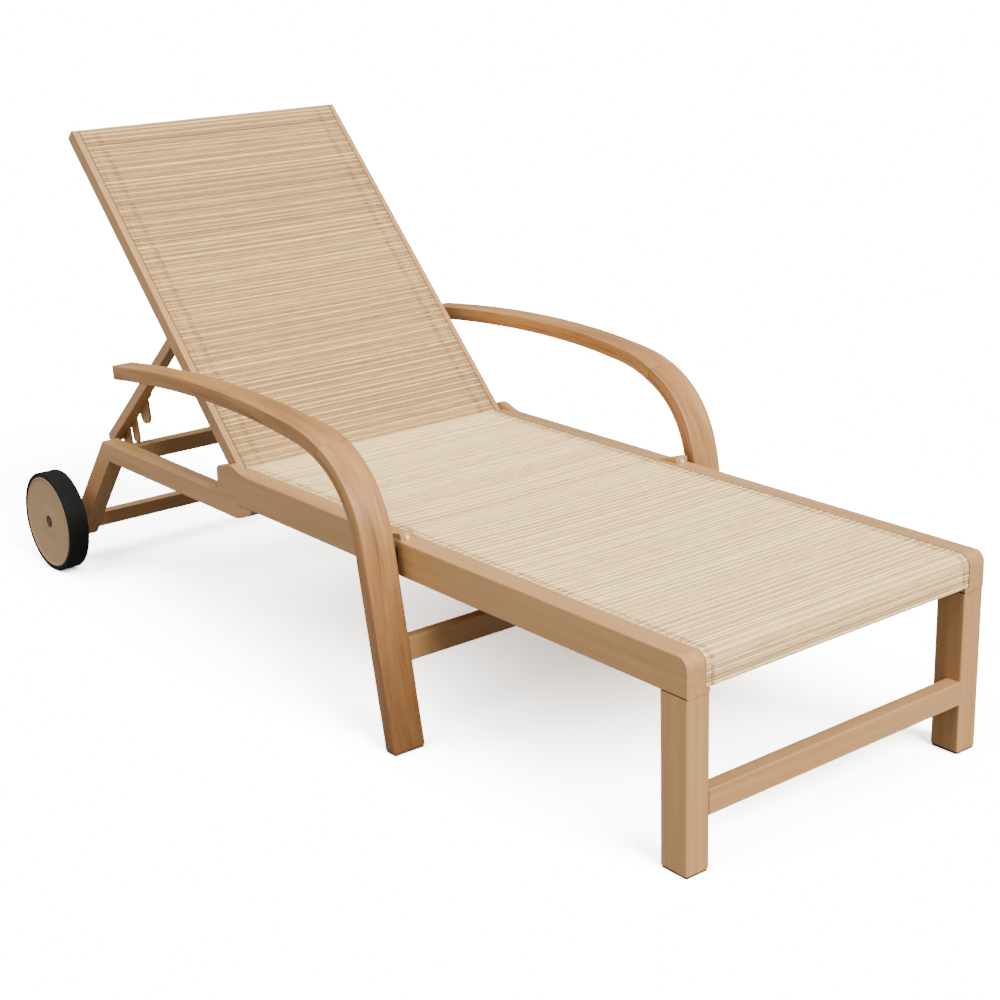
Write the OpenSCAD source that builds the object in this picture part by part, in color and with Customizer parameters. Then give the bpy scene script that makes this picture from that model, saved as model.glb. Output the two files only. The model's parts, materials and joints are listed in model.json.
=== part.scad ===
// Reclining sun lounger with two wheels at the head end.
// Millimetres, +Z up, +X towards the foot end, -Y is the sitter's right hand.
// The floor is Z = 0 and the origin is under the middle of the lounger.

/* [Seat frame] */
// Outside width across the two seat rails
frame_width = 650; // [560:5:720]
// Length of a seat rail
rail_length = 1192; // [1000:1:1400]
// Width of a seat rail
rail_width = 45; // [30:1:60]
// Height of a seat rail
rail_height = 62; // [40:1:80]
// Height of the seat above the floor
seat_height = 340; // [280:1:420]
// Width of the ledge that carries the edge of the sling
ledge_width = 9; // [5:0.5:14]
// Depth of that ledge
ledge_depth = 3; // [2:0.5:6]
// Radius of the long edges of the tubes
edge_radius = 3; // [1:0.5:6]
// Radius of the top corner at the foot end
nose_radius = 20; // [8:1:28]

/* [Foot end] */
// Length of a foot leg along the rail
foot_leg_length = 55; // [40:1:80]
// Height of the middle of the low stretcher
foot_stretcher_z = 107; // [60:1:160]
// Height of the low stretcher
foot_stretcher_height = 41; // [25:1:55]
// Thickness of the low stretcher
foot_stretcher_depth = 28; // [18:1:40]
// Thickness of a floor glide
glide_height = 4; // [2:0.5:8]

/* [Slings] */
// Thickness of the woven sling
sling_thickness = 2.5; // [1:0.1:4]
// Length of the seat sling that hangs over the foot end
sling_drop = 50; // [20:1:60]

/* [Backrest] */
// Height of the hinge
hinge_z = 325; // [280:1:360]
// Distance of the hinge from the foot end
hinge_run = 1209; // [1100:1:1350]
// Angle of the backrest above level when it is fully up
back_angle = 46; // [20:1:60]
// Length of the backrest from the hinge
back_length = 808; // [600:1:900]
// Outside width of the backrest
back_width = 614; // [520:1:640]
// Width of a backrest tube
back_tube_width = 22; // [18:1:34]
// Depth of a backrest tube
back_tube_depth = 30; // [20:1:40]
// Radius of the hinge pins
hinge_pin_radius = 5; // [3:0.5:8]

/* [Strut] */
// Distance from the hinge to the strut pivot
strut_pivot_run = 333; // [250:1:400]
// Angle of the strut below level when the backrest is up
strut_angle = 41; // [30:0.5:60]
// Length of a strut leg
strut_length = 440; // [350:1:470]
// Width of a strut leg across the lounger
strut_width = 24; // [16:1:30]
// Depth of a strut leg
strut_depth = 22; // [16:1:26]
// Thickness of a rack plate
rack_thickness = 6; // [4:0.5:10]
// Width of a rack tooth
tooth_width = 22; // [14:1:26]

/* [Rear frame] */
// Height of the top of the rear rail
rear_rail_top = 290; // [260:1:300]
// Height of a rear rail
rear_rail_height = 40; // [25:1:45]
// Distance of the rear corner from the foot end
rear_corner_run = 1721; // [1600:1:1850]
// Width of a wheel leg
wheel_leg_width = 42; // [30:1:60]
// Height of the middle of a wheel leg's round end
wheel_leg_end_z = 68; // [50:1:110]
// Angle of a wheel leg below level
wheel_leg_angle = 51; // [40:1:70]

/* [Wheels] */
// Distance of the axle from the foot end
axle_run = 1842; // [1750:1:1950]
// Radius of a wheel
wheel_radius = 105; // [80:1:130]
// Width of a wheel
wheel_width = 43; // [25:1:50]
// Thickness of the tyre
tyre_thickness = 8; // [6:1:20]
// Distance from the middle of the lounger to a wheel's outer face
wheel_outer_y = 408; // [360:1:430]
// Radius of an axle
axle_radius = 6; // [4:0.5:10]

/* [Arms] */
// Distance from the middle of the lounger to an arm's outer face
arm_outer_y = 400; // [370:1:430]
// Width of an arm leg
arm_leg_width = 62; // [40:1:80]
// Width of an armrest
arm_top_width = 50; // [40:1:80]
// Thickness of the arms
arm_thickness = 28; // [20:1:40]
// Height of the armrest at its highest point
arm_height = 526; // [450:1:580]
// Distance from the foot end to the seam in the arm
arm_seam_run = 787; // [740:1:840]
// Distance from the foot end to the end of the armrest
arm_end_run = 1500; // [1300:1:1600]

/* [Fit] */
// Radial clearance of the turning pins
pin_clearance = 0.05; // [0.02:0.01:0.1]

/* [Hidden] */
$fn = 64;

paint = [0.72, 0.58, 0.44];
timber = [0.80, 0.62, 0.42];
weave = [0.88, 0.79, 0.66];
weave_back = [0.85, 0.74, 0.58];
black = [0.06, 0.06, 0.06];
steel = [0.55, 0.50, 0.45];
brown = [0.24, 0.16, 0.11];

half_width = frame_width / 2;
rail_inner_y = half_width - rail_width;
rail_bottom = seat_height - rail_height;
ledge_y = rail_inner_y + ledge_width;
ledge_z = seat_height - ledge_depth;
foot_x = (axle_run + wheel_radius) / 2;
hinge_x = foot_x - hinge_run;
rail_end_x = foot_x - rail_length;
leg_seat_gap = 1;
sling_turn = nose_radius - ledge_depth;
leg_top = rail_bottom - leg_seat_gap;
corner_x = foot_x - rear_corner_run;
rear_rail_bottom = rear_rail_top - rear_rail_height;
rear_rail_inner_y = half_width - 36;
cheek_thickness = 16;
back_half = back_width / 2;
back_inner_y = back_half - back_tube_width;
back_ledge_y = back_inner_y + 10;
strut_outer_y = back_inner_y - 2;
strut_inner_y = strut_outer_y - strut_width;
rack_inner_y = strut_inner_y - rack_thickness;
strut_x = hinge_x - strut_pivot_run * cos(back_angle);
strut_z = hinge_z + strut_pivot_run * sin(back_angle);
axle_x = foot_x - axle_run;
axle_z = wheel_radius;
wheel_inner_y = wheel_outer_y - wheel_width;
arm_leg_inner_y = arm_outer_y - arm_leg_width;
arm_steps = 14;

// A block between two opposite corners.
module block(a, b) {
    translate(a) cube(b - a);
}

// Repeats a part on the left-hand side.
module left_side() {
    mirror([0, 1, 0]) children();
}

// Both sides at once.
module both_sides() {
    children();
    left_side() children();
}

// A rectangle with round corners, centred.
module round_rect(w, h, r) {
    square([w - 2 * r, h], center = true);
    square([w, h - 2 * r], center = true);
    for (i = [-1, 1], j = [-1, 1])
        translate([i * (w / 2 - r), j * (h / 2 - r)]) circle(r);
}

// A tube blank along X between two corners, with round long edges.
module bar_x(a, b, r = edge_radius) {
    translate([a.x, (a.y + b.y) / 2, (a.z + b.z) / 2])
        rotate([90, 0, 90])
        linear_extrude(b.x - a.x) round_rect(b.y - a.y, b.z - a.z, r);
}

// The same along Y.
module bar_y(a, b, r = edge_radius) {
    translate([(a.x + b.x) / 2, b.y, (a.z + b.z) / 2])
        rotate([90, 0, 0])
        linear_extrude(b.y - a.y) round_rect(b.x - a.x, b.z - a.z, r);
}

// The same along Z.
module bar_z(a, b, r = edge_radius) {
    translate([(a.x + b.x) / 2, (a.y + b.y) / 2, a.z])
        linear_extrude(b.z - a.z) round_rect(b.x - a.x, b.y - a.y, r);
}

// A rod along Y from y0 to y1.
module rod_y(x, z, r, y0, y1) {
    translate([x, y0, z]) rotate([-90, 0, 0]) cylinder(h = y1 - y0, r = r);
}

// Takes the square corner off a bar that ends at x, z; a round is left.
module nose_cut(x, z, r, y0, y1) {
    difference() {
        block([x - r, y0, z - r], [x + 2, y1, z + 2]);
        rod_y(x - r, z - r, r, y0 - 1, y1 + 1);
    }
}

// The same at the other end of a bar, towards -X.
module tail_cut(x, z, r, y0, y1) {
    translate([x, 0, 0]) mirror([1, 0, 0]) nose_cut(0, z, r, y0, y1);
}

// ---------------------------------------------------------------- seat frame

module seat_rail_right() {
    color(paint) difference() {
        bar_x([rail_end_x, -half_width, rail_bottom], [foot_x, -rail_inner_y, seat_height]);
        block([rail_end_x - 1, -ledge_y, ledge_z], [foot_x + 1, -rail_inner_y + 1, seat_height + 1]);
        nose_cut(foot_x, seat_height, nose_radius, -half_width - 1, -rail_inner_y + 1);
        nose_cut(foot_x - ledge_depth, ledge_z, sling_turn, -ledge_y, -rail_inner_y + 1);
        block([foot_x - ledge_depth, -ledge_y, ledge_z - sling_drop - 1],
            [foot_x + 1, -rail_inner_y + 1, seat_height]);
        arm_bolt_holes();
    }
}

module seat_rail_left() {
    left_side() seat_rail_right();
}

module foot_leg_right() {
    color(paint) bar_z([foot_x - foot_leg_length, -half_width, glide_height],
        [foot_x, -rail_inner_y, leg_top]);
}

module foot_leg_left() {
    left_side() foot_leg_right();
}

// Thin dark pads between the legs and the rails.
module leg_seats() {
    color(black) both_sides()
        block([foot_x - foot_leg_length + 1.5, -half_width + 1.5, leg_top],
            [foot_x - 1.5, -rail_inner_y - 1.5, rail_bottom]);
}

module floor_glides() {
    color(black) both_sides()
        bar_z([foot_x - foot_leg_length + 1, -half_width + 1, 0],
            [foot_x - 1, -rail_inner_y - 1, glide_height]);
}

module foot_stretcher() {
    half = foot_stretcher_height / 2;
    color(paint) bar_y([foot_x - foot_stretcher_depth, -rail_inner_y, foot_stretcher_z - half],
        [foot_x, rail_inner_y, foot_stretcher_z + half]);
}

// The bar that the seat sling turns down over.
module foot_end_bar() {
    bar_front = foot_x - ledge_depth;
    color(paint) difference() {
        bar_y([bar_front - 38, -rail_inner_y, ledge_z - 40], [bar_front, rail_inner_y, ledge_z]);
        nose_cut(bar_front, ledge_z, sling_turn, -rail_inner_y - 1, rail_inner_y + 1);
    }
}

module seat_rear_bar() {
    color(paint) bar_y([rail_end_x + 2, -rail_inner_y, ledge_z - 30],
        [rail_end_x + 32, rail_inner_y, ledge_z]);
}

// A low bar that keeps the rails apart; it sits clear under the sling.
module seat_middle_bar() {
    color(paint) bar_y([foot_x - 700, -rail_inner_y, rail_bottom + 3],
        [foot_x - 670, rail_inner_y, rail_bottom + 28]);
}

module seat_sling() {
    edge = ledge_y - 0.4;
    inside = foot_x - ledge_depth;
    turn_x = inside - sling_turn;
    turn_z = ledge_z - sling_turn;
    color(weave) {
        block([rail_end_x - 6, -edge, ledge_z], [turn_x, edge, ledge_z + sling_thickness]);
        difference() {
            rod_y(turn_x, turn_z, sling_turn + sling_thickness, -edge, edge);
            rod_y(turn_x, turn_z, sling_turn, -edge - 1, edge + 1);
            block([turn_x - 50, -edge - 1, turn_z - 50], [turn_x, edge + 1, turn_z + 50]);
            block([turn_x - 50, -edge - 1, turn_z - 50], [turn_x + 50, edge + 1, turn_z]);
        }
        block([inside, -edge, ledge_z - sling_drop], [inside + sling_thickness, edge, turn_z]);
    }
}

// ---------------------------------------------------------------- hinge

module hinge_cheek_right() {
    cheek_top = seat_height + 4;
    cheek_end = rail_end_x - 66;
    mound_rise = 11;
    mound_start = rail_end_x - 44;
    mound_peak = rail_end_x - 18;
    mound_run = 48;
    lift = mound_rise - (cheek_top - seat_height);
    climb = [for (i = [0:8])
        [mound_start + (mound_peak - mound_start) * i / 8, cheek_top + lift * (1 - cos(180 * i / 8)) / 2]];
    fall = [for (i = [1:12])
        [mound_peak + mound_run * i / 12, seat_height + mound_rise * (1 + cos(180 * i / 12)) / 2]];
    base = [[rail_end_x, seat_height], [rail_end_x, cheek_top - 8], [mound_start, cheek_top - 8]];
    color(paint) difference() {
        union() {
            bar_x([cheek_end, -half_width, rear_rail_top],
                [rail_end_x, -half_width + cheek_thickness, cheek_top], 1);
            translate([0, -half_width + cheek_thickness, 0]) rotate([90, 0, 0])
                linear_extrude(cheek_thickness) polygon(concat(climb, fall, base));
        }
        tail_cut(cheek_end, cheek_top, 14, -half_width - 1, -half_width + cheek_thickness + 1);
        rod_y(hinge_x, hinge_z, hinge_pin_radius, -half_width + 6, -back_half);
    }
}

module hinge_cheek_left() {
    left_side() hinge_cheek_right();
}

module hinge_pins() {
    color(steel) both_sides()
        rod_y(hinge_x, hinge_z, hinge_pin_radius, -half_width + 6, -back_inner_y - 1);
}

module hinge_washers() {
    color(black) both_sides() difference() {
        rod_y(hinge_x, hinge_z, 10, -half_width + cheek_thickness, -back_half - 0.4);
        rod_y(hinge_x, hinge_z, hinge_pin_radius, -half_width, -back_half + 1);
    }
}

// ---------------------------------------------------------------- rear frame

module rear_rail_right() {
    tongue = 50;
    rise_from = rail_end_x - 25;
    rise_radius = 130;
    color(paint) difference() {
        bar_x([corner_x, -half_width, rear_rail_bottom],
            [rail_end_x + tongue, -rear_rail_inner_y, rear_rail_top]);
        block([rail_end_x, -half_width - 1, rail_bottom],
            [rail_end_x + tongue + 1, -rear_rail_inner_y + 1, rear_rail_top + 1]);
        translate([0, 0, 2 * rear_rail_bottom]) mirror([0, 0, 1])
            nose_cut(rise_from + rise_radius, rear_rail_bottom, rise_radius,
                -half_width - 1, -rear_rail_inner_y + 1);
        beyond_mitre(1);
    }
}

module rear_rail_left() {
    left_side() rear_rail_right();
}

// The rear corner's mitre runs from the outer corner to this inner one.
mitre_inner = [(wheel_leg_width - rear_rail_height * cos(wheel_leg_angle)) / sin(wheel_leg_angle),
    -rear_rail_height];

// Everything on one side of the mitre: 1 keeps to the rail, -1 to the leg.
module beyond_mitre(side) {
    along = unit(mitre_inner);
    across = [along.y, -along.x] * side * 300;
    translate([corner_x, half_width, rear_rail_top])
        rotate([90, 0, 0])
        linear_extrude(frame_width)
        polygon([-along * 100, along * 300, along * 300 + across, across - along * 100]);
}

module wheel_leg_right() {
    drop = (rear_rail_top - wheel_leg_end_z) / sin(wheel_leg_angle);
    reach = drop - wheel_leg_width / 2 / tan(wheel_leg_angle);
    color(paint) difference() {
        translate([corner_x, -rear_rail_inner_y, rear_rail_top])
            rotate([90, 0, 0])
            linear_extrude(half_width - rear_rail_inner_y)
            rotate(180 + wheel_leg_angle)
            translate([-60, 0]) {
                square([reach + 60, wheel_leg_width]);
                translate([reach + 60, wheel_leg_width / 2]) circle(wheel_leg_width / 2);
            }
        beyond_mitre(-1);
        block([corner_x - 100, -half_width - 1, rear_rail_top],
            [corner_x + 200, -rear_rail_inner_y + 1, rear_rail_top + 100]);
        rod_y(axle_x, axle_z, axle_radius, -half_width - 1, -rear_rail_inner_y + 1);
    }
}

module wheel_leg_left() {
    left_side() wheel_leg_right();
}

// The rack teeth hook over this bar.
module rear_upper_bar() {
    color(paint) bar_y([corner_x + 9, -rear_rail_inner_y, rear_rail_top - 47],
        [corner_x + 39, rear_rail_inner_y, rear_rail_top - 14]);
}

module rear_lower_bar() {
    color(paint) bar_y([axle_x - 40, -rear_rail_inner_y, axle_z - 43],
        [axle_x - 14, rear_rail_inner_y, axle_z - 12]);
}

module axle_bolts() {
    color(brown) both_sides() {
        rod_y(axle_x, axle_z, axle_radius, -wheel_outer_y + 7, -rear_rail_inner_y - 4);
        rod_y(axle_x, axle_z, 10, -wheel_outer_y + 3, -wheel_outer_y + 9);
    }
}

// ---------------------------------------------------------------- arms

function bez(a, b, c, d, t) =
    a * pow(1 - t, 3) + b * 3 * t * pow(1 - t, 2) + c * 3 * t * t * (1 - t) + d * pow(t, 3);
function slope(a, b, c, d, t) =
    (b - a) * 3 * pow(1 - t, 2) + (c - b) * 6 * t * (1 - t) + (d - c) * 3 * t * t;
function unit(v) = v / norm(v);
function side_of(v) = [v.y, -v.x];

arm_foot = [-606, 0];
arm_knee = [-667, 335];
arm_bend = [-862, arm_height - 14];
arm_tail = [-arm_end_run, arm_height - 24];
arm_leg_dir = unit(arm_knee - arm_foot);
arm_bend_dir = unit([-1, 0.13]);
arm_tail_dir = unit([-1, -0.12]);
knee_reach = 118;
bend_reach = 96;
top_reach = 210;

shoulder = [arm_knee, arm_knee + arm_leg_dir * knee_reach, arm_bend - arm_bend_dir * bend_reach, arm_bend];
top_run = [arm_bend, arm_bend + arm_bend_dir * top_reach, arm_tail - arm_tail_dir * top_reach, arm_tail];

function on_shoulder(t) = bez(shoulder[0], shoulder[1], shoulder[2], shoulder[3], t);
function on_top(t) = bez(top_run[0], top_run[1], top_run[2], top_run[3], t);
function shoulder_dir(t) = unit(slope(shoulder[0], shoulder[1], shoulder[2], shoulder[3], t));
function top_dir(t) = unit(slope(top_run[0], top_run[1], top_run[2], top_run[3], t));

outer_line = concat([arm_foot],
    [for (i = [0:arm_steps]) on_shoulder(i / arm_steps)],
    [for (i = [1:arm_steps]) on_top(i / arm_steps)]);
inner_line = concat([arm_foot - side_of(arm_leg_dir) * arm_thickness],
    [for (i = [0:arm_steps])
        on_shoulder(i / arm_steps) - side_of(shoulder_dir(i / arm_steps)) * arm_thickness],
    [for (i = [1:arm_steps]) on_top(i / arm_steps) - side_of(top_dir(i / arm_steps)) * arm_thickness]);
arm_outline = concat(outer_line, [for (i = [len(inner_line) - 1:-1:0]) inner_line[i]]);

// The side shape of an arm as a plate of some width, outer face at -Y.
module arm_blank(width) {
    translate([foot_x, -arm_outer_y + width, 0])
        rotate([90, 0, 0])
        linear_extrude(width) polygon(arm_outline);
}

module arm_leg_right() {
    seam_x = foot_x - arm_seam_run;
    color(timber) difference() {
        arm_blank(arm_leg_width);
        block([seam_x - 900, -arm_outer_y - 1, 300], [seam_x, -arm_leg_inner_y + 1, 700]);
        block([seam_x, -arm_outer_y - 1, -20], [seam_x + 300, -arm_leg_inner_y + 1, glide_height]);
        arm_bolt_holes();
    }
}

module arm_leg_left() {
    left_side() arm_leg_right();
}

module armrest_right() {
    seam_x = foot_x - arm_seam_run;
    end_x = foot_x - arm_end_run;
    color(timber) difference() {
        arm_blank(arm_leg_width);
        block([seam_x, -arm_outer_y - 1, -10], [seam_x + 400, -arm_leg_inner_y + 1, 700]);
        // The inner face narrows from the leg's width to the armrest's width.
        translate([0, 0, 300]) linear_extrude(400) polygon([
            [seam_x, -arm_leg_inner_y],
            [seam_x - 90, -arm_outer_y + arm_top_width + 3],
            [seam_x - 200, -arm_outer_y + arm_top_width],
            [end_x, -arm_outer_y + arm_top_width - 6],
            [end_x - 10, -arm_outer_y + arm_top_width - 6],
            [end_x - 10, -arm_leg_inner_y + 10],
            [seam_x, -arm_leg_inner_y + 10]]);
        translate([end_x - 20, -arm_outer_y - 1, 300]) cube([22, 80, 400]);
    }
}

module armrest_left() {
    left_side() armrest_right();
}

// Black blocks that hold the arm legs off the seat rails.
module arm_spacers() {
    color(black) both_sides() difference() {
        union() {
            block([foot_x - 697, -arm_leg_inner_y, rail_bottom + 2],
                [foot_x - 680, -half_width, seat_height - 14]);
            rod_y(foot_x - 689, rail_bottom + 2, 9, -arm_leg_inner_y, -half_width);
        }
        arm_bolt_holes();
    }
}

// One bolt holds each arm to the rail and one to the stretcher.
module right_arm_bolts() {
    rod_y(foot_x - 685, seat_height - 30, 3.5, -arm_leg_inner_y - 20, -rail_inner_y - 5);
    rod_y(foot_x - 652, 163, 4, -arm_leg_inner_y - 20, -arm_leg_inner_y + 30);
}

module arm_bolt_holes() {
    right_arm_bolts();
}

module arm_bolts() {
    color(brown) both_sides() right_arm_bolts();
}

module arm_glides() {
    color(black) both_sides()
        block([foot_x - 606 - 28, -arm_outer_y + 2, 0], [foot_x - 609, -arm_leg_inner_y - 2, glide_height]);
}

// The bar between the two arm legs.
module arm_stretcher() {
    color(paint) difference() {
        bar_y([foot_x - 664, -arm_leg_inner_y, 142], [foot_x - 640, arm_leg_inner_y, 184]);
        both_sides() arm_bolt_holes();
    }
}

lug_front = foot_x - 676;
lug_width = 26;
lug_y = -half_width + 2 + lug_width / 2;

// A low lug with a ramp behind it, on the rail beside the arm leg.
module rail_lug_right() {
    lug_rise = 11;
    lug_run = 46;
    lug_round = 4;
    ramp = [for (i = [0:12]) [-lug_run * i / 12, lug_rise * (1 + cos(180 * i / 12)) / 2]];
    front = [for (a = [0:30:90]) [lug_round * cos(a), lug_rise - lug_round + lug_round * sin(a)]];
    color(paint) translate([lug_front, lug_y - lug_width / 2 + lug_width, seat_height])
        rotate([90, 0, 0])
        linear_extrude(lug_width) polygon(concat([[lug_round, 0]], front, [for (i = [1:12]) ramp[i]]));
}

module rail_lug_left() {
    left_side() rail_lug_right();
}

module lug_buttons() {
    color(weave) both_sides()
        translate([lug_front + 4, lug_y, seat_height + 3.8])
        rotate([0, 90, 0]) cylinder(h = 1.5, r = 3.6);
}

// ---------------------------------------------------------------- backrest

// Backrest parts are drawn lying level from the hinge and then raised:
// -X runs up the backrest, +Z is the front of it.
module raised() {
    translate([hinge_x, 0, hinge_z]) rotate([0, back_angle, 0]) children();
}

module back_tube_right() {
    h = back_tube_depth / 2;
    color(paint) raised() difference() {
        union() {
            bar_x([-back_length, -back_half, -h], [0, -back_inner_y, h], 2);
            rod_y(0, 0, h, -back_half, -back_inner_y);
        }
        tail_cut(-back_length, h, 7, -back_half - 1, -back_inner_y + 1);
        mirror([0, 0, 1]) tail_cut(-back_length, h, 7, -back_half - 1, -back_inner_y + 1);
        block([-back_length - 1, -back_ledge_y, h - ledge_depth], [-4, -back_inner_y + 1, h + 1]);
        rod_y(0, 0, hinge_pin_radius + pin_clearance, -back_half - 1, -back_inner_y + 1);
        rod_y(-strut_pivot_run, 0, 5, -back_inner_y - 12, -back_inner_y + 1);
    }
}

module back_tube_left() {
    left_side() back_tube_right();
}

module back_top_bar() {
    h = back_tube_depth / 2;
    color(paint) raised()
        bar_y([-back_length + 3, -back_inner_y, -h + 4], [-back_length + 24, back_inner_y, h - ledge_depth]);
}

module back_bottom_bar() {
    h = back_tube_depth / 2;
    color(paint) raised()
        bar_y([-42, -back_inner_y, -h + 4], [-16, back_inner_y, h - ledge_depth]);
}

module back_sling() {
    h = back_tube_depth / 2;
    color(weave_back) raised()
        block([-back_length + 2, -back_ledge_y + 0.4, h - ledge_depth],
            [-5, back_ledge_y - 0.4, h - ledge_depth + sling_thickness]);
}

module strut_pins() {
    color(steel) raised() both_sides()
        rod_y(-strut_pivot_run, 0, 5, -back_inner_y - 12, -strut_inner_y + 1);
}

// ---------------------------------------------------------------- strut

// Strut parts are drawn level from their pivot: -X runs down the strut.
module swung() {
    translate([strut_x, 0, strut_z]) rotate([0, -strut_angle, 0]) children();
}

module strut_leg_right() {
    h = strut_depth / 2;
    color(paint) swung() difference() {
        union() {
            bar_x([-strut_length + h, -strut_outer_y, -h], [0, -strut_inner_y, h], 2);
            rod_y(0, 0, h, -strut_outer_y, -strut_inner_y);
            rod_y(-strut_length + h, 0, h, -strut_outer_y, -strut_inner_y);
        }
        rod_y(0, 0, 5 + pin_clearance, -strut_outer_y - 1, -strut_inner_y + 1);
    }
}

module strut_leg_left() {
    left_side() strut_leg_right();
}

// Where each tooth of the rack starts along the strut, how far it reaches and its width.
rack_top = 252;
tooth_lean = 32;
tooth_roots = [288, 354, 404];
tooth_reaches = [30, 43, 38];
tooth_widths = [tooth_width + 14, tooth_width, tooth_width + 8];

// A plate with three teeth that point down; the bar sits between the last two.
module rack_plate_right() {
    h = strut_depth / 2;
    color(paint) swung() {
        block([-strut_length + 6, -strut_inner_y, -h + 3], [-rack_top, -rack_inner_y, h - 2]);
        for (i = [0:2])
            translate([-tooth_roots[i], -strut_inner_y, 0]) rotate([0, tooth_lean, 0]) {
                block([-tooth_widths[i] / 2, 0, -tooth_reaches[i]], [tooth_widths[i] / 2, rack_thickness, 0]);
                rod_y(0, -tooth_reaches[i], tooth_widths[i] / 2, 0, rack_thickness);
            }
    }
}

module rack_plate_left() {
    left_side() rack_plate_right();
}

module strut_tie_rod() {
    color(steel) swung() rod_y(-424, -44, 6, -rack_inner_y, rack_inner_y);
}

// ---------------------------------------------------------------- wheels

// Draws a turned profile about the axle; the profile's Y is distance outward.
module turned(inner_y) {
    translate([axle_x, -inner_y, axle_z]) rotate([90, 0, 0]) rotate_extrude() children();
}

module tyre_right() {
    w = wheel_width;
    r = wheel_radius;
    t = tyre_thickness;
    color(black) turned(wheel_inner_y) difference() {
        translate([r - t, 0]) {
            translate([0, 3]) square([t, w - 6]);
            square([t - 3, w]);
            translate([t - 3, 3]) circle(3);
            translate([t - 3, w - 3]) circle(3);
        }
    }
}

module tyre_left() {
    left_side() tyre_right();
}

module wheel_disc_right() {
    w = wheel_width;
    r = wheel_radius - tyre_thickness;
    color(paint) turned(wheel_inner_y) polygon([
        [12, -12], [22, -12], [26, 6], [r - 14, 14], [r - 8, 4], [r, 4],
        [r, w - 2], [r - 3, w], [r - 8, w - 2], [40, w - 5], [20, w - 3.5], [13, w - 3.5],
        [13, w - 12], [12, w - 12]]);
}

module wheel_disc_left() {
    left_side() wheel_disc_right();
}

// Plain bearing bush pressed in each wheel.
module wheel_bush_right() {
    w = wheel_width;
    color(black) turned(wheel_inner_y)
        translate([axle_radius + pin_clearance, -27]) square([12 - axle_radius - pin_clearance, w + 15]);
}

module wheel_bush_left() {
    left_side() wheel_bush_right();
}

// ---------------------------------------------------------------- drawing

seat_rail_right();
seat_rail_left();
foot_leg_right();
foot_leg_left();
leg_seats();
floor_glides();
foot_stretcher();
foot_end_bar();
seat_rear_bar();
seat_sling();
seat_middle_bar();
hinge_cheek_right();
hinge_cheek_left();
hinge_pins();
hinge_washers();
rear_rail_right();
rear_rail_left();
wheel_leg_right();
wheel_leg_left();
rear_upper_bar();
rear_lower_bar();
axle_bolts();
rail_lug_right();
rail_lug_left();
lug_buttons();
arm_leg_right();
arm_leg_left();
armrest_right();
armrest_left();
arm_spacers();
arm_bolts();
arm_glides();
arm_stretcher();
back_tube_right();
back_tube_left();
back_top_bar();
back_bottom_bar();
back_sling();
strut_pins();
strut_leg_right();
strut_leg_left();
rack_plate_right();
rack_plate_left();
strut_tie_rod();
wheel_disc_right();
wheel_disc_left();
tyre_right();
tyre_left();
wheel_bush_right();
wheel_bush_left();
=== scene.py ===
"""Reclining sun lounger with two wheels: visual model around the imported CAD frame.

Metres, +Z up, +X towards the foot end, and the two sides mirrored about Y = 0.
The tubes, fittings, rack and wheels are the CAD's own shapes with procedural looks.
The two slings and the two wooden arms are replaced by finer meshes.
"""

import json
import math

import bpy
import numpy as np
from mathutils import Matrix, Vector


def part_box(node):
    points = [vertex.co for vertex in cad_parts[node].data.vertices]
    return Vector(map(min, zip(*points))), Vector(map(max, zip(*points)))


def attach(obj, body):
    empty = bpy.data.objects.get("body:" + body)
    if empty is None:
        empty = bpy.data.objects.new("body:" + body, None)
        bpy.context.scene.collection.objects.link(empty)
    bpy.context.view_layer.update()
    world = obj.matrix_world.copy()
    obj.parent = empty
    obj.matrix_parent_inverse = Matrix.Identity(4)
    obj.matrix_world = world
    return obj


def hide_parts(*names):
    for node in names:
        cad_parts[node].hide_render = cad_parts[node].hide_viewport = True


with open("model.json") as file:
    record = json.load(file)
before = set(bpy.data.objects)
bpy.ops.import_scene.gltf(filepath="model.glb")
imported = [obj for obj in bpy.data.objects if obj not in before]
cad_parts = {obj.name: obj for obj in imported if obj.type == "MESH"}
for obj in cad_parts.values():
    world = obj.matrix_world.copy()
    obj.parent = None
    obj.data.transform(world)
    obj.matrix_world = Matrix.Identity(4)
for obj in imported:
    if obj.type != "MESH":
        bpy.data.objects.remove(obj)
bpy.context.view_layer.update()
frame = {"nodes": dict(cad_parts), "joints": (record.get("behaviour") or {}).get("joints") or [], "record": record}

# ------------------------------------------------------------------ sizes, from the frame

def box(name):
    """A CAD node's lowest and highest corners at rest."""
    lo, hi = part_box(name)
    return Vector(lo), Vector(hi)


joints = {j["name"]: j for j in frame["joints"]}
FOOT_X = box("foot_leg_right")[1].x

# Seat sling: the ledge that it lies on, where it begins, and how low it hangs at the foot end.
seat_lo, seat_hi = box("seat_sling")
CAD_SLING = 0.0025                      # thickness of the CAD's plain slings
LEDGE_Z = seat_hi.z - CAD_SLING
LEDGE_Y = seat_hi.y
SEAT_BACK_X = seat_lo.x
SLING_LOW = seat_lo.z
SEAT_FACE_X = FOOT_X - 0.003            # front of the bar that the sling turns down over
TURN_R = 0.017

# Backrest: in its own level frame X runs from the hinge line towards the head, as negative values.
HINGE = Vector(joints["backrest_recline"]["pos_m"])
BACK_ANGLE = math.radians(46)
BACK_LENGTH = 0.808
BACK_START = 0.005                      # the sling begins this far past the hinge line
BACK_EDGE = box("back_sling")[1].y
BACK_LEDGE = 0.012                      # height of its ledge above the hinge line
BACK_TURN_R = 0.008
BACK_TAIL = 0.012                       # cloth that goes down behind the top bar
TOP_BAR_GAP = 0.006

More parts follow.
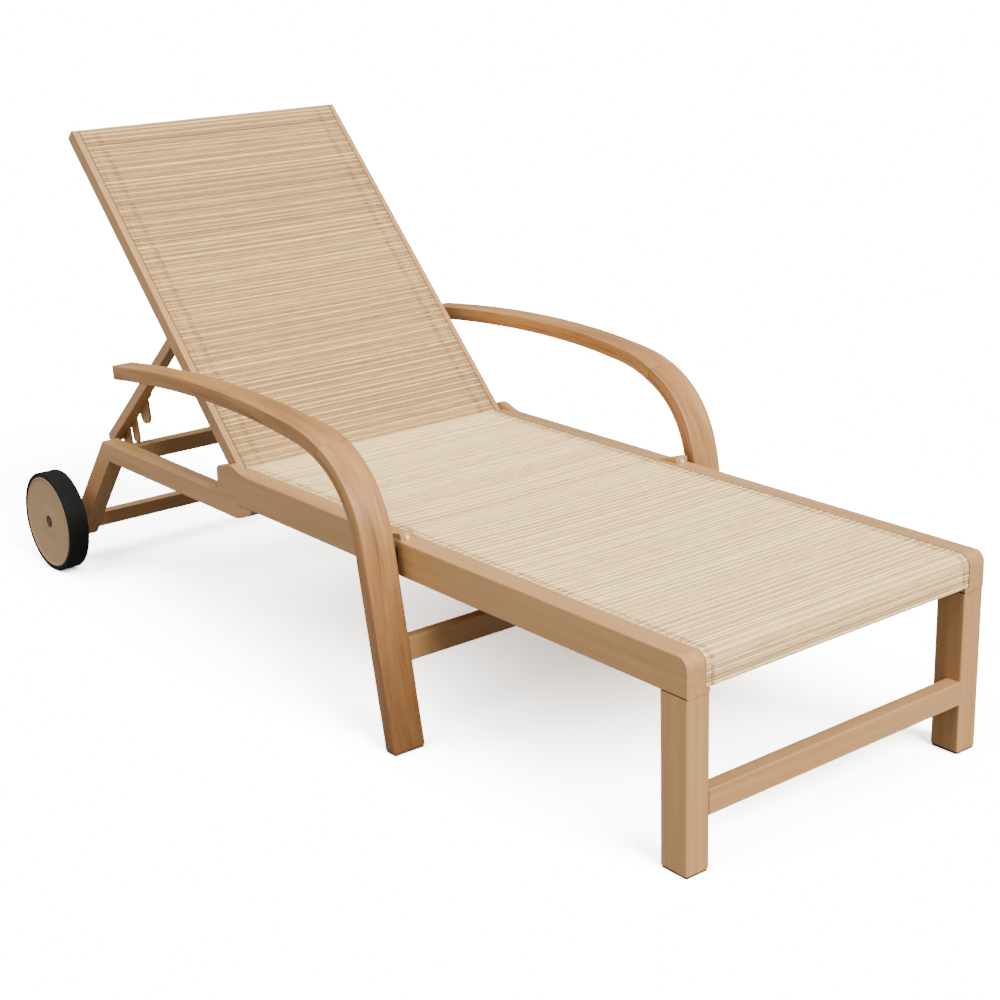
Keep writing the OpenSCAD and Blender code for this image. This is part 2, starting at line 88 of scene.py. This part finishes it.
# Cloth.
CLOTH_RISE = 0.0012                     # middle of the cloth above its ledge
CLOTH_THICK = 0.0011
GROOVE = 0.0014                         # gap between the cloth's edge and the rail
CORD_STEP = 0.0006                      # length between two mesh rows
CLOTH_COLUMNS = 97
SEAM_SPREAD = 0.0035                    # half width of the dark seam along each edge
SEAM_DARK = 0.9
CORD_UNEVEN = 0.16                      # how much a cord's height varies across the cloth
TONE_UNEVEN = 0.03

# Yarns: (least width, spread of width, rise, least lightness, spread of lightness).
CORD = (0.0022, 0.0010, 1.0, 0.46, 0.20)
# The two gaps' low lightness is partly the cloth's own colour and partly painted shade between the cords.
CORD_GAP = (0.0010, 0.0007, 0.0, -0.10, 0.10)
FINE_YARN = (0.0014, 0.0008, 0.40, 0.18, 0.22)
FINE_GAP = (0.0004, 0.0005, 0.05, -0.08, 0.20)
FEWEST_FINE, MOST_FINE = 2, 5

# Wooden arms: distances from the foot end, heights from the floor.
ARM_OUTER = box("arm_leg_left")[1].y
ARM_LEG_WIDTH = ARM_OUTER - box("arm_leg_left")[0].y
ARM_THICK = 0.028
ARM_HEIGHT = 0.526
ARM_SEAM = 0.787
ARM_ARRIS = 0.0035
GLIDE_TOP = 0.004
ARM_FOOT = (-0.606, 0.0)
ARM_KNEE = (-0.667, 0.335)
ARM_BEND = (-0.862, ARM_HEIGHT - 0.014)
ARM_TIP = (-1.500, ARM_HEIGHT - 0.024)
BEND_WAY = (-1, 0.13)                   # direction of the arm's line at the bend
TIP_WAY = (-1, -0.12)
KNEE_PULL = 0.118                       # reach of the curve's handles at the knee, and
BEND_PULL = 0.096                       # before the bend, and in the rest at both ends
REST_PULL = 0.210
# How much narrower the arm is than its leg, by the distance behind the seam.
ARM_TAPER_AT = (0.0, 0.09, 0.20, 0.713)
ARM_TAPER = (0.0, 0.009, 0.012, 0.018)


# ------------------------------------------------------------------ materials

def new_material(name, colour, rough):
    """A material with its node tree and its Principled shader."""
    m = bpy.data.materials.new(name)
    m.use_nodes = True
    bsdf = m.node_tree.nodes["Principled BSDF"]
    bsdf.inputs["Base Color"].default_value = (*colour, 1)
    bsdf.inputs["Roughness"].default_value = rough
    return m, m.node_tree, bsdf


def node(tree, kind, **values):
    """A new node whose inputs or settings are given by name."""
    n = tree.nodes.new(kind)
    for k, v in values.items():
        if k in n.inputs:
            n.inputs[k].default_value = v
        else:
            setattr(n, k, v)
    return n


def streaks(tree, scale, detail=4.0, source=None):
    """Noise drawn out along an axis by the three scales."""
    if source is None:
        source = node(tree, "ShaderNodeTexCoord").outputs["Object"]
    mapping = node(tree, "ShaderNodeMapping")
    mapping.inputs["Scale"].default_value = scale
    tree.links.new(source, mapping.inputs["Vector"])
    noise = node(tree, "ShaderNodeTexNoise", Scale=1.0, Detail=detail, Roughness=0.6)
    tree.links.new(mapping.outputs["Vector"], noise.inputs["Vector"])
    return noise.outputs["Fac"]


def ramp(tree, fac, stops):
    """Colour by a factor, from stops of (position, colour)."""
    r = node(tree, "ShaderNodeValToRGB")
    elements = r.color_ramp.elements
    while len(elements) < len(stops):
        elements.new(0.5)
    for element, (position, colour) in zip(elements, stops):
        element.position = position
        element.color = (*colour, 1)
    tree.links.new(fac, r.inputs["Fac"])
    return r.outputs["Color"]


def bump(tree, bsdf, height, strength, distance):
    """Fine relief from a height, on the shader's normal."""
    b = node(tree, "ShaderNodeBump", Strength=strength, Distance=distance)
    tree.links.new(height, b.inputs["Height"])
    tree.links.new(b.outputs["Normal"], bsdf.inputs["Normal"])


def lin(r, g, b):
    """A colour given as 0 to 255 screen values, each above 10, as scene-linear."""
    return tuple(((c / 255 + 0.055) / 1.055) ** 2.4 for c in (r, g, b))


def paint_material(name, scale):
    """Tan powder coat with a faint drawn grain along the tube."""
    m, t, bsdf = new_material(name, (0.42, 0.22, 0.08), 0.36)
    grain = streaks(t, scale, 6.0)
    tans = [(0.28, (0.360, 0.188, 0.066)), (0.50, (0.405, 0.216, 0.080)), (0.74, (0.450, 0.247, 0.095))]
    t.links.new(ramp(t, grain, tans), bsdf.inputs["Base Color"])
    fine = streaks(t, (900, 900, 900), 2.0)
    bump(t, bsdf, fine, 0.10, 0.0004)
    return m


def wood_material():
    """Oiled teak: broad bands, fine pores, a few dark strokes, and painted shade that darkens the leg towards the
    floor.

    The mesh's "grain" attribute holds (length along the arm, across, depth) in metres.
    """
    m, t, bsdf = new_material("oiled_teak", (0.40, 0.20, 0.08), 0.42)
    at = node(t, "ShaderNodeAttribute", attribute_name="grain")
    broad = streaks(t, (2.4, 18, 34), 4.0, at.outputs["Vector"])
    fine = streaks(t, (10, 170, 420), 6.0, at.outputs["Vector"])
    stroke = streaks(t, (3.2, 62, 90), 2.0, at.outputs["Vector"])
    browns = [(0.26, (0.215, 0.095, 0.027)), (0.5, (0.360, 0.168, 0.050)), (0.76, (0.500, 0.255, 0.088))]
    plain = (1.0, 1.0, 1.0)
    lines = ramp(t, fine, [(0.30, (0.50, 0.42, 0.34)), (0.50, (0.92, 0.90, 0.88)), (0.8, plain)])
    dark = ramp(t, stroke, [(0.30, (0.42, 0.32, 0.24)), (0.40, plain)])
    along = node(t, "ShaderNodeSeparateXYZ")
    t.links.new(at.outputs["Vector"], along.inputs[0])
    # Painted shade: the lower leg's colour is darkened towards the floor, standing in for the light that falls off
    # there.
    low = ramp(t, along.outputs["X"], [(0.0, (0.52, 0.46, 0.40)), (0.42, plain)])
    last = ramp(t, broad, browns)
    for layer, much in ((lines, 0.7), (dark, 0.8), (low, 1.0)):
        mix = node(t, "ShaderNodeMix", data_type="RGBA", blend_type="MULTIPLY")
        mix.inputs["Factor"].default_value = much
        t.links.new(last, mix.inputs["A"])
        t.links.new(layer, mix.inputs["B"])
        last = mix.outputs["Result"]
    t.links.new(last, bsdf.inputs["Base Color"])
    bump(t, bsdf, fine, 0.12, 0.0006)
    return m


def weave_material(name, dark, mid, light):
    """Cloth with light cords and dark gaps; the gaps' dark is partly the cloth's own colour and partly painted
    shade between the cords.

    The mesh's "yarn" attribute holds each cord's own lightness and "cloth" the place on the
    cloth. Long slubs and short specks, two noises about 0.5, are added to the lightness.
    """
    m, t, bsdf = new_material(name, mid, 0.8)
    yarn = node(t, "ShaderNodeAttribute", attribute_name="yarn")
    place = node(t, "ShaderNodeAttribute", attribute_name="cloth")
    slub = streaks(t, (260, 9, 1), 4.0, place.outputs["Vector"])
    speck = streaks(t, (1000, 210, 1), 3.0, place.outputs["Vector"])
    level = node(t, "ShaderNodeMath", operation="ADD")
    level.inputs[1].default_value = -0.32
    t.links.new(yarn.outputs["Fac"], level.inputs[0])
    total = level.outputs[0]
    for source, much in ((slub, 0.40), (speck, 0.40)):
        add = node(t, "ShaderNodeMath", operation="MULTIPLY_ADD")
        add.inputs[1].default_value = much
        t.links.new(source, add.inputs[0])
        t.links.new(total, add.inputs[2])
        total = add.outputs[0]
    # The darkest colour, in the gaps between cords, is partly the cloth's own and partly painted shade.
    gap_colour_and_shade = tuple(c * k for c, k in zip(dark, (0.50, 0.46, 0.42)))
    colour = ramp(t, total, [(0.06, gap_colour_and_shade), (0.30, dark), (0.66, mid), (1.0, light)])
    t.links.new(colour, bsdf.inputs["Base Color"])
    bump(t, bsdf, speck, 0.4, 0.0006)
    bsdf.inputs["Sheen Weight"].default_value = 0.1
    return m


def plain_material(name, colour, rough, speck, metallic=0.0, gloss=0.5):
    """One colour with a fine mottle of that share darker and lighter, and a slight grain."""
    m, t, bsdf = new_material(name, colour, rough)
    mottle = streaks(t, (160, 160, 160), 4.0)
    low = tuple(c * (1 - speck) for c in colour)
    high = tuple(min(1, c * (1 + speck)) for c in colour)
    t.links.new(ramp(t, mottle, [(0.3, low), (0.7, high)]), bsdf.inputs["Base Color"])
    bump(t, bsdf, mottle, 0.08, 0.0005)
    bsdf.inputs["Metallic"].default_value = metallic
    bsdf.inputs["Specular IOR Level"].default_value = gloss
    return m


PAINT_X = paint_material("tan_paint_x", (3, 90, 90))
PAINT_Y = paint_material("tan_paint_y", (90, 3, 90))
PAINT_Z = paint_material("tan_paint_z", (90, 90, 3))
WOOD = wood_material()
RUBBER = plain_material("black_rubber", (0.005, 0.005, 0.0045), 0.6, 0.25, gloss=0.12)
BLACK = plain_material("black_plastic", (0.012, 0.009, 0.007), 0.6, 0.2, gloss=0.2)
DISC = plain_material("tan_wheel_plastic", (0.34, 0.205, 0.098), 0.5, 0.04)
GLIDE = plain_material("brown_glide", lin(78, 56, 40), 0.6, 0.1, metallic=0.2)
BROWN = plain_material("brown_bolt", lin(70, 48, 34), 0.35, 0.15, metallic=0.6)
STEEL = plain_material("brushed_steel", lin(150, 140, 128), 0.35, 0.1, metallic=0.9)
PALE = plain_material("pale_button", lin(232, 220, 200), 0.5, 0.05)
# Seat and back are one cloth: the seat's colours are made lighter as painted light for the more light it gets, the
# back's darker as painted shade.
SEAT_WEAVE_PAINTED_LIGHT = weave_material("seat_weave", (0.58, 0.36, 0.14), (0.97, 0.72, 0.34), (1.0, 0.85, 0.51))
BACK_WEAVE_PAINTED_SHADE = weave_material("back_weave", (0.30, 0.168, 0.058), (0.63, 0.385, 0.145), (0.97, 0.75, 0.38))
THREAD = plain_material("stitch_thread", (0.16, 0.095, 0.045), 0.8, 0.1)

LOOKS = {
    "teak": WOOD, "tyre": RUBBER, "black_plastic": BLACK, "wheel_plastic": DISC,
    "brown_bolts": BROWN, "steel": STEEL, "pale_plastic": PALE, "seat_weave": SEAT_WEAVE_PAINTED_LIGHT, "back_weave": BACK_WEAVE_PAINTED_SHADE,
}
GLIDES = ("floor_glides", "arm_glides")


def look_of(name, slot_name):
    """The look of a CAD node: painted parts get the paint drawn along their longest side."""
    if name in GLIDES:
        return GLIDE
    if slot_name in LOOKS:
        return LOOKS[slot_name]
    lo, hi = box(name)
    size = list(hi - lo)
    return (PAINT_X, PAINT_Y, PAINT_Z)[size.index(max(size))]


slots = {s["node"]: s["material_slot"] for s in frame["record"]["subparts"]}
for name, obj in frame["nodes"].items():
    obj.data.materials.clear()
    obj.data.materials.append(look_of(name, slots[name]))


# ------------------------------------------------------------------ mesh helpers

def mesh_object(name, verts, faces, material):
    """A smooth-shaded mesh object in the scene."""
    mesh = bpy.data.meshes.new(name)
    mesh.from_pydata([tuple(map(float, v)) for v in verts], [], [tuple(map(int, f)) for f in faces])
    mesh.update()
    mesh.materials.append(material)
    mesh.polygons.foreach_set("use_smooth", [True] * len(mesh.polygons))
    obj = bpy.data.objects.new(name, mesh)
    bpy.context.scene.collection.objects.link(obj)
    return obj


def set_attribute(obj, name, values):
    """A number or a vector kept on each point of the mesh."""
    values = np.asarray(values, dtype=np.float32)
    kind = "FLOAT" if values.ndim == 1 else "FLOAT_VECTOR"
    layer = obj.data.attributes.new(name, kind, "POINT")
    layer.data.foreach_set("value" if kind == "FLOAT" else "vector", values.ravel())


def grid_faces(rows, cols):
    """Quads of a grid whose points run along each row in turn."""
    i, j = np.meshgrid(np.arange(rows - 1), np.arange(cols - 1), indexing="ij")
    a = (i * cols + j).ravel()
    return np.stack([a, a + 1, a + cols + 1, a + cols], 1)


# ------------------------------------------------------------------ slings

def ribs(rng, length):
    """Cords along a sling: a thick light one, a dark gap, then a few fine yarns, over and over.

    Gives the mesh rows' places by length, and each row's rise, lightness and cord number.
    """
    edges, height, light = [0.0], [], []

    def lay(width, width_spread, rise, tone, tone_spread):
        edges.append(edges[-1] + width + width_spread * rng.random())
        height.append(rise)
        light.append(tone + tone_spread * rng.random())

    while edges[-1] < length:
        lay(*CORD)
        lay(*CORD_GAP)
        for _ in range(rng.integers(FEWEST_FINE, MOST_FINE + 1)):
            lay(*FINE_YARN)
            lay(*FINE_GAP)
    s = np.linspace(0, length, int(length / CORD_STEP) + 1)
    k = np.clip(np.searchsorted(edges, s, side="right") - 1, 0, len(height) - 1)
    edges = np.array(edges)
    t = (s - edges[k]) / (edges[k + 1] - edges[k])
    crown = np.sqrt(np.clip(1 - (2 * t - 1) ** 2, 0, 1))
    return s, crown * np.array(height)[k], np.array(light)[k], k


def hollow(s, length, depth, power):
    """Sag along a stretch held at both ends, by the length along it."""
    return depth * np.clip(np.sin(np.pi * np.clip(s / length, 0, 1)), 0, 1) ** power


def sling(name, path, cords, width, rise, sag, hem, material, seed):
    """A stretched cloth along a path in X and Z, with cords across it.

    sag is how far the middle line dips, and hem how far in from each edge the dark seam is.
    """
    rng = np.random.default_rng(seed)
    s, height, light, k = cords
    pos, normal = path(s)
    v = np.linspace(-1, 1, CLOTH_COLUMNS)
    wobble = rng.normal(0, 1, (k.max() + 1, CLOTH_COLUMNS))
    for _ in range(2):
        wobble = (wobble + np.roll(wobble, 1, 1) + np.roll(wobble, -1, 1)) / 2.2
    lift = rise * height[:, None] * (1 + CORD_UNEVEN * wobble[k])
    dip = sag[:, None] * (1 - v[None, :] ** 2)
    x = pos[:, 0:1] + normal[:, 0:1] * (lift - dip)
    z = pos[:, 1:2] + normal[:, 1:2] * (lift - dip)
    y = np.broadcast_to(v * width / 2, x.shape)
    verts = np.stack([x, y, z], -1).reshape(-1, 3)
    obj = mesh_object(name, verts, grid_faces(len(s), CLOTH_COLUMNS), material)
    from_seam = np.abs(np.abs(v) * width / 2 - (width / 2 - hem))
    band = np.exp(-(from_seam / SEAM_SPREAD) ** 2)[None, :]
    mottle = rng.random((len(s), CLOTH_COLUMNS)) - 0.75
    yarn = light[:, None] + TONE_UNEVEN * wobble[k] + band * SEAM_DARK * mottle
    set_attribute(obj, "yarn", yarn.ravel())
    place = np.stack([np.broadcast_to(s[:, None], x.shape), y, np.zeros_like(x)], -1)
    set_attribute(obj, "cloth", place.reshape(-1, 3))
    return obj


def over_edge(start, way, flat, radius, tail):
    """A level stretch, a quarter turn down over a round edge, and a short drop.

    start is the cloth's first point in X and Z, way is 1 or -1 along X, flat and tail are
    lengths and radius is the cloth's own. Gives points and normals by length along it.
    """
    centre = np.array(start) + (way * flat, -radius)
    arc = radius * math.pi / 2

    def path(s):
        a = math.pi / 2 - way * np.clip(s - flat, 0, arc) / radius
        normal = np.stack([np.cos(a), np.sin(a)], 1)
        level = way * np.minimum(s - flat, 0)
        down = np.maximum(s - flat - arc, 0)
        return centre + radius * normal + np.stack([level, -down], 1), normal

    return path, flat + arc + tail


seat_top = SEAT_FACE_X - TURN_R - SEAT_BACK_X
seat_drop = LEDGE_Z - TURN_R - SLING_LOW
seat_path, SEAT_LEN = over_edge((SEAT_BACK_X, LEDGE_Z + CLOTH_RISE), 1, seat_top,
                                TURN_R + CLOTH_RISE, seat_drop)
seat_cords = ribs(np.random.default_rng(7), SEAT_LEN)
seat = sling("seat_cloth", seat_path, seat_cords, 2 * (LEDGE_Y - GROOVE), rise=0.0009,
             sag=hollow(seat_cords[0], seat_top, 0.004, 0.8), hem=0.012, material=SEAT_WEAVE_PAINTED_LIGHT, seed=11)

# The back cloth is drawn level from the hinge towards the head, then raised to its angle.
up = Matrix.Translation(HINGE) @ Matrix.Rotation(BACK_ANGLE, 4, "Y")
back_top = BACK_LENGTH - TOP_BAR_GAP - BACK_TURN_R
back_path, BACK_LEN = over_edge((-BACK_START, BACK_LEDGE + CLOTH_RISE), -1, back_top,
                                BACK_TURN_R + CLOTH_RISE, BACK_TAIL)
back_cords = ribs(np.random.default_rng(23), BACK_LEN)
back = sling("back_cloth", back_path, back_cords, 2 * (BACK_EDGE - GROOVE), rise=0.0013,
             sag=hollow(back_cords[0], back_top, 0.005, 0.7), hem=0.034, material=BACK_WEAVE_PAINTED_SHADE, seed=29)
back.data.transform(up)

# The thickness goes outwards from both meshes: the seat's faces point inwards, the back's outwards.
for cloth, outward in ((seat, -1), (back, 1)):
    thicken = cloth.modifiers.new("cloth", "SOLIDIFY")
    thicken.thickness = CLOTH_THICK
    thicken.offset = outward


# One stitch is a flattened six-sided thread: (along, half width, height) of its four rings.
STITCH_RINGS = (
    (-0.0019, 0.0002, 0.0), (-0.0009, 0.0005, 0.0007),
    (0.0009, 0.0005, 0.0007), (0.0019, 0.0002, 0.0),
)
STITCH_SIDES = 6
STITCH_PITCH = 0.0052
STITCH_MARGIN = 0.004
STITCH_INSETS = (0.004, 0.010)          # the two rows along each edge
CROSS_ROW = 0.572                       # length of the rows across the cloth


def stitches(name, rows):
    """Short thread dashes along straight rows of (start, direction, normal, length)."""
    verts, faces = [], []
    n_sides, n_rings = STITCH_SIDES, len(STITCH_RINGS)
    for start, direction, normal, length in rows:
        start, direction, normal = Vector(start), Vector(direction), Vector(normal)
        across = normal.cross(direction)
        at = STITCH_MARGIN
        while at < length - STITCH_MARGIN:
            base = len(verts)
            for along, half_width, high in STITCH_RINGS:
                middle = start + direction * (at + along) + normal * high
                for k in range(n_sides):
                    a = 2 * math.pi * k / n_sides
                    verts.append(middle + half_width * (across * math.cos(a) + normal * math.sin(a)))
            for r in range(n_rings - 1):
                for k in range(n_sides):
                    a, b = base + r * n_sides + k, base + r * n_sides + (k + 1) % n_sides
                    faces.append((a, b, b + n_sides, a + n_sides))
            last = base + n_sides * (n_rings - 1)
            faces.append(tuple(base + k for k in reversed(range(n_sides))))
            faces.append(tuple(last + k for k in range(n_sides)))
            at += STITCH_PITCH
    return mesh_object(name, verts, faces, THREAD)


def edge_rows(edge):
    """Where the rows along a cloth's two edges are, across it."""
    return [side * (edge - GROOVE - inset) for side in (-1, 1) for inset in STITCH_INSETS]


# Seat: two rows across the drop at the foot end, then two along each edge.
seat_front = SEAT_FACE_X + CLOTH_RISE + CLOTH_THICK
seat_surface = LEDGE_Z + CLOTH_RISE + 0.0009
seat_rows = []
for height in (0.006, 0.013):
    seat_rows.append(((seat_front, -CROSS_ROW / 2, SLING_LOW + height), (0, 1, 0), (1, 0, 0), CROSS_ROW))
for y in edge_rows(LEDGE_Y):
    seat_rows.append(((seat_front, y, LEDGE_Z - TURN_R), (0, 0, -1), (1, 0, 0), seat_drop))
    seat_rows.append(((SEAT_BACK_X, y, seat_surface), (1, 0, 0), (0, 0, 1), seat_top))
seat_thread = stitches("seat_stitches", seat_rows)

# Back: two rows along each edge, then two across below the top bar.
back_surface = BACK_LEDGE + CLOTH_RISE + 0.0012
back_rows = []
for y in edge_rows(BACK_EDGE):
    back_rows.append(((-0.010, y, back_surface), (-1, 0, 0), (0, 0, 1), back_top - 0.010))
for inset in (0.030, 0.036):
    back_rows.append(((inset - back_top, -CROSS_ROW / 2, back_surface), (0, 1, 0), (0, 0, 1), CROSS_ROW))
back_thread = stitches("back_stitches", back_rows)
back_thread.data.transform(up)

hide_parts("seat_sling")
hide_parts("back_sling")
for piece, body, slot_name in ((seat, "frame", "seat_weave"), (seat_thread, "frame", "seat_weave"),
                               (back, "backrest", "back_weave"), (back_thread, "backrest", "back_weave")):
    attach(piece, body)


# ------------------------------------------------------------------ wooden arms

def unit(v):
    """The same direction with length 1."""
    v = np.array(v, dtype=float)
    return v / np.linalg.norm(v)


def bezier(points, t):
    """Places and directions along a cubic curve given by its four points."""
    a, b, c, d = (np.array(p) for p in points)
    t = t[:, None]
    pos = a * (1 - t) ** 3 + b * 3 * t * (1 - t) ** 2 + c * 3 * t * t * (1 - t) + d * t ** 3
    slope = (b - a) * 3 * (1 - t) ** 2 + (c - b) * 6 * t * (1 - t) + (d - c) * 3 * t * t
    return pos, slope / np.linalg.norm(slope, axis=1)[:, None]


def arm_line():
    """The arm's outer line from the floor to the tip: a straight leg, a bend and a long rest.

    Gives points, directions and lengths along it, in X and Z.
    """
    foot, knee, bend, tip = (np.array(p) for p in (ARM_FOOT, ARM_KNEE, ARM_BEND, ARM_TIP))
    leg, over, end = unit(knee - foot), unit(BEND_WAY), unit(TIP_WAY)
    t = np.linspace(0, 1, 60)[:-1]
    leg_pos = foot + (knee - foot) * t[:, None]
    leg_way = np.broadcast_to(leg, leg_pos.shape)
    bend_points = (knee, knee + leg * KNEE_PULL, bend - over * BEND_PULL, bend)
    bend_pos, bend_way = bezier(bend_points, t)
    rest_points = (bend, bend + over * REST_PULL, tip - end * REST_PULL, tip)
    rest_pos, rest_way = bezier(rest_points, np.linspace(0, 1, 90))
    pos = np.concatenate([leg_pos, bend_pos, rest_pos])
    way = np.concatenate([leg_way, bend_way, rest_way])
    run = np.concatenate([[0], np.cumsum(np.linalg.norm(np.diff(pos, axis=0), axis=1))])
    return pos + np.array((FOOT_X, 0)), way, run


def ring(width):
    """A rectangle with eased corners: (distance in from the outer side, depth)."""
    r, steps = ARM_ARRIS, 6
    corners = ((width - r, r, -90), (width - r, ARM_THICK - r, 0), (r, ARM_THICK - r, 90), (r, r, 180))
    points = []
    for y, depth, first in corners:
        for k in range(steps + 1):
            a = math.radians(first + 90 * k / steps)
            points.append((y + r * math.cos(a), depth + r * math.sin(a)))
    return np.array(points)


def arm_width(x):
    """Leg width up to the seam, then narrowing to the armrest's."""
    behind = FOOT_X - ARM_SEAM - x
    return ARM_LEG_WIDTH - np.interp(behind, ARM_TAPER_AT, ARM_TAPER)


def end_pull(at, begin, stop, begin_r, stop_r):
    """How far the outline draws in at this length, for a rounded end."""
    near, r = (at - begin, begin_r) if at - begin < stop - at else (stop - at, stop_r)
    if near >= r:
        return 0.0
    return r - math.sqrt(max(0.0, r * r - (r - near) ** 2))


def arm_piece(name, begin, stop, begin_r, stop_r, side, grain_depth):
    """A length of the arm between two places along its line, with rounded ends."""
    pos, way, run = arm_line()
    quarter = np.linspace(0, math.pi / 2, 6)
    first = [begin + begin_r * (1 - math.cos(a)) for a in quarter]
    middle = [r for r in run if begin + begin_r + 0.002 < r < stop - stop_r - 0.002]
    last = [stop - stop_r * (1 - math.cos(a)) for a in reversed(quarter)]
    grain_across = 0.3 if side > 0 else 0.0
    rings = first + middle + last
    verts, grain = [], []
    for at in rings:
        p = np.array([np.interp(at, run, pos[:, 0]), np.interp(at, run, pos[:, 1])])
        d = unit([np.interp(at, run, way[:, 0]), np.interp(at, run, way[:, 1])])
        inward = np.array([-d[1], d[0]])
        half = np.array([arm_width(p[0]) / 2, ARM_THICK / 2])
        shape = half + (ring(2 * half[0]) - half) * (1 - end_pull(at, begin, stop, begin_r, stop_r) / half)
        for y, depth in shape:
            q = p + inward * depth
            verts.append((q[0], side * (ARM_OUTER - y), max(q[1], GLIDE_TOP)))
            grain.append((at, y + grain_across, depth + grain_depth))
    size = len(verts) // len(rings)
    faces = []
    for i in range(len(rings) - 1):
        for k in range(size):
            a, b = i * size + k, i * size + (k + 1) % size
            faces.append((a, b, b + size, a + size))
    faces.append(tuple(reversed(range(size))))
    faces.append(tuple(len(verts) - size + k for k in range(size)))
    obj = mesh_object(name, verts, faces, WOOD)
    set_attribute(obj, "grain", grain)
    if side > 0:
        obj.data.flip_normals()
    return obj


arm_pos, _, arm_run = arm_line()
seam_run = float(np.interp(ARM_SEAM - FOOT_X, -arm_pos[:, 0], arm_run))
glide_run = float(np.interp(GLIDE_TOP, arm_pos[:, 1], arm_run))
tip_run = float(arm_run[-1])
half_gap = 0.0003
foot_r, seam_r, tip_r = 0.0015, 0.0010, 0.008
for side, word in ((-1, "right"), (1, "left")):
    leg = arm_piece("wood_leg_" + word, glide_run, seam_run - half_gap, foot_r, seam_r, side, 0.0)
    rest = arm_piece("wood_rest_" + word, seam_run + half_gap, tip_run, seam_r, tip_r, side, 0.5)
    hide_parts("arm_leg_" + word)
    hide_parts("armrest_" + word)
    for piece in (leg, rest):
        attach(piece, "frame")


# ------------------------------------------------------------------ floor, light and camera

def floor_material():
    """White studio floor: near white where the camera sees it, grey in the light it sends back."""
    m = bpy.data.materials.new("pale_floor")
    m.use_nodes = True
    t = m.node_tree
    t.nodes.remove(t.nodes["Principled BSDF"])
    diffuse = node(t, "ShaderNodeBsdfDiffuse")
    path = node(t, "ShaderNodeLightPath")
    mix = node(t, "ShaderNodeMix", data_type="RGBA")
    mix.inputs["A"].default_value = (0.20, 0.20, 0.20, 1)
    mix.inputs["B"].default_value = (7.0, 7.0, 7.0, 1)
    t.links.new(path.outputs["Is Camera Ray"], mix.inputs["Factor"])
    t.links.new(mix.outputs["Result"], diffuse.inputs["Color"])
    t.links.new(diffuse.outputs["BSDF"], t.nodes["Material Output"].inputs["Surface"])
    return m


def studio_world():
    """Soft even light from all round, and a white background where the camera sees it."""
    world = bpy.data.worlds.new("studio")
    world.use_nodes = True
    t = world.node_tree
    light = t.nodes["Background"]
    light.inputs["Color"].default_value = (1, 1, 1, 1)
    light.inputs["Strength"].default_value = 0.30
    seen = node(t, "ShaderNodeBackground", Strength=11.0)
    path = node(t, "ShaderNodeLightPath")
    choose = node(t, "ShaderNodeMixShader")
    t.links.new(path.outputs["Is Camera Ray"], choose.inputs[0])
    t.links.new(light.outputs[0], choose.inputs[1])
    t.links.new(seen.outputs[0], choose.inputs[2])
    t.links.new(choose.outputs[0], t.nodes["World Output"].inputs["Surface"])
    bpy.context.scene.world = world


def soft_lamp(name, towards, spread, strength):
    """A broad, even lamp far off in one direction; spread is in degrees."""
    data = bpy.data.lights.new(name, "SUN")
    data.angle = math.radians(spread)
    data.energy = strength
    lamp = bpy.data.objects.new(name, data)
    lamp.rotation_mode = "QUATERNION"
    lamp.rotation_quaternion = Vector(towards).to_track_quat("Z", "Y")
    bpy.context.scene.collection.objects.link(lamp)


CAMERA_LENS = 67.734
CAMERA_SENSOR = 36
CAMERA_SHIFT = -0.04


def place_camera(azimuth, elevation, roll, right_by, up_by, back_by):
    """A camera that looks from that direction. Angles are in degrees.

    It stands that far along its own axes from the point on the floor below the foot end.
    """
    azimuth, elevation, roll = math.radians(azimuth), math.radians(elevation), math.radians(roll)
    backward = Vector((math.sin(azimuth) * math.cos(elevation), -math.cos(azimuth) * math.cos(elevation),
                       math.sin(elevation)))
    right = Vector((math.cos(azimuth), math.sin(azimuth), 0))
    upward = backward.cross(right)
    rolled_right = right * math.cos(roll) + upward * math.sin(roll)
    rolled_up = upward * math.cos(roll) - right * math.sin(roll)
    data = bpy.data.cameras.new("camera")
    data.lens = CAMERA_LENS
    data.sensor_width = CAMERA_SENSOR
    data.shift_x = CAMERA_SHIFT
    camera = bpy.data.objects.new("camera", data)
    turned = Matrix((rolled_right, rolled_up, backward)).transposed().to_4x4()
    spot = Vector((FOOT_X, 0, 0)) + right * right_by + upward * up_by + backward * back_by
    camera.matrix_world = Matrix.Translation(spot) @ turned
    bpy.context.scene.collection.objects.link(camera)
    bpy.context.scene.camera = camera


FLOOR_REACH = 60
corners = [(x * FLOOR_REACH, y * FLOOR_REACH, 0) for x, y in ((-1, -1), (1, -1), (1, 1), (-1, 1))]
floor = mesh_object("floor", corners, [(0, 1, 2, 3)], floor_material())
floor.location.z = -0.0005

studio_world()
soft_lamp("key", (1.0, 0.04, 0.80), 36, 7.0)
soft_lamp("top", (-0.2, 0.1, 1.0), 60, 1.35)
soft_lamp("side", (-0.15, -1.0, 1.3), 50, 2.6)

place_camera(azimuth=50.71, elevation=18.0, roll=-1.331, right_by=-0.447395, up_by=0.48256,
             back_by=2.873195)
